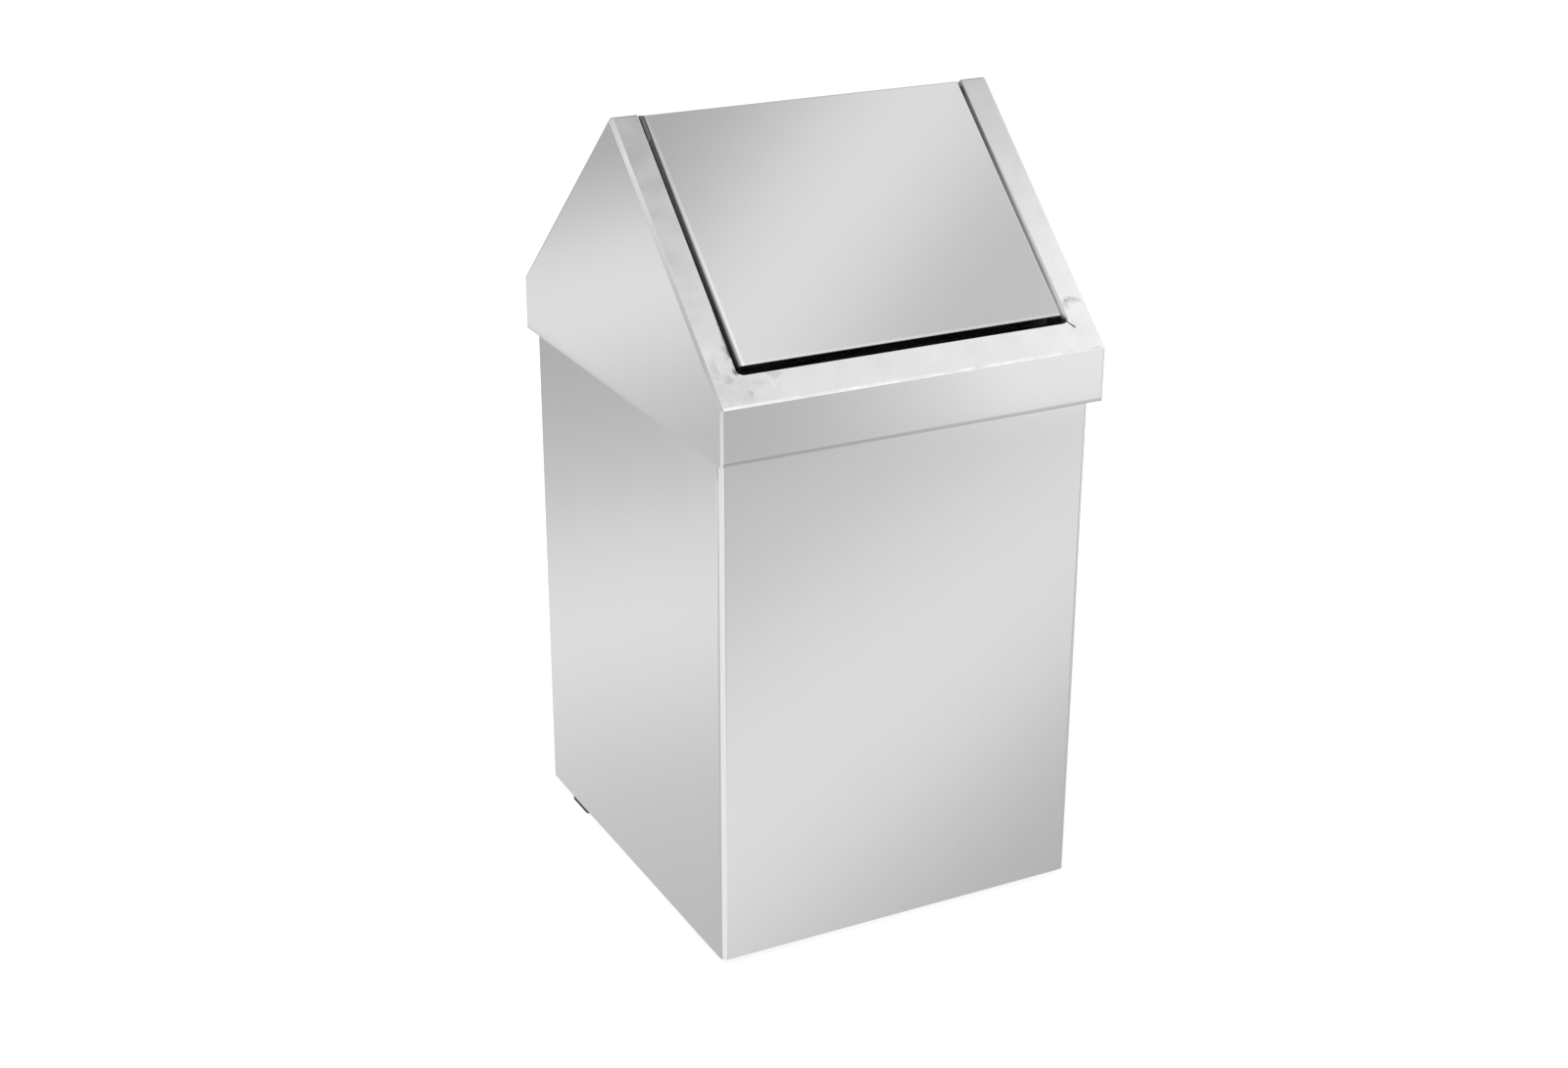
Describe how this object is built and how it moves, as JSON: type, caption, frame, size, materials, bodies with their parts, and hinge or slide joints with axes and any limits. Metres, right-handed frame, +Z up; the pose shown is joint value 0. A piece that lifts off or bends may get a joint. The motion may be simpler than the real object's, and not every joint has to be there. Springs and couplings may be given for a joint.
{
  "type": "countertop swing-lid bin",
  "caption": "Small square sheet-steel waste bin for a worktop: a lift-off gabled hood holds a roof-shaped flap that swings both ways on an axle under its ridge.",
  "frame": {"origin": "on the worktop under the middle of the bin", "axes": "+Z up; the front of the bin faces -Y; +X to the right seen from the front"},
  "size_m": [0.16, 0.183, 0.3128],
  "materials": {
    "satin_steel": "satin stainless sheet, fine grain, softly blurred reflections",
    "inner_steel": "plain mill-finish stainless sheet",
    "fastener_steel": "turned and pressed bright steel",
    "foot_rubber": "matt black rubber",
    "bush_plastic": "black self-lubricating plastic"
  },
  "bodies": {
    "bin": {"bin_shell": "satin_steel", "seam_strip": "inner_steel", "base_pan": "inner_steel", "front_left_foot": "foot_rubber", "front_right_foot": "foot_rubber", "rear_left_foot": "foot_rubber", "rear_right_foot": "foot_rubber", "foot_screws": "fastener_steel", "foot_washers": "fastener_steel", "foot_nuts": "fastener_steel"},
    "hood": {"left_gable": "satin_steel", "right_gable": "satin_steel", "front_rail": "satin_steel", "rear_rail": "satin_steel", "left_hinge_plate": "inner_steel", "right_hinge_plate": "inner_steel", "left_bush": "bush_plastic", "right_bush": "bush_plastic", "left_seat_angle": "inner_steel", "right_seat_angle": "inner_steel"},
    "flap": {"swing_flap": "satin_steel", "flap_axle": "fastener_steel", "ear_spacer": "fastener_steel", "axle_clips": "fastener_steel"}
  },
  "joints": [
    {"name": "hood_lift", "type": "slide", "parent": "bin", "child": "hood", "axis": [0, 0, 1], "range_m": [0, 0.1]},
    {"name": "flap_swing", "type": "hinge", "parent": "hood", "child": "flap", "pos_m": [0, 0, 0.3064], "axis": [1, 0, 0], "range_deg": [-44, 44]}
  ]
}
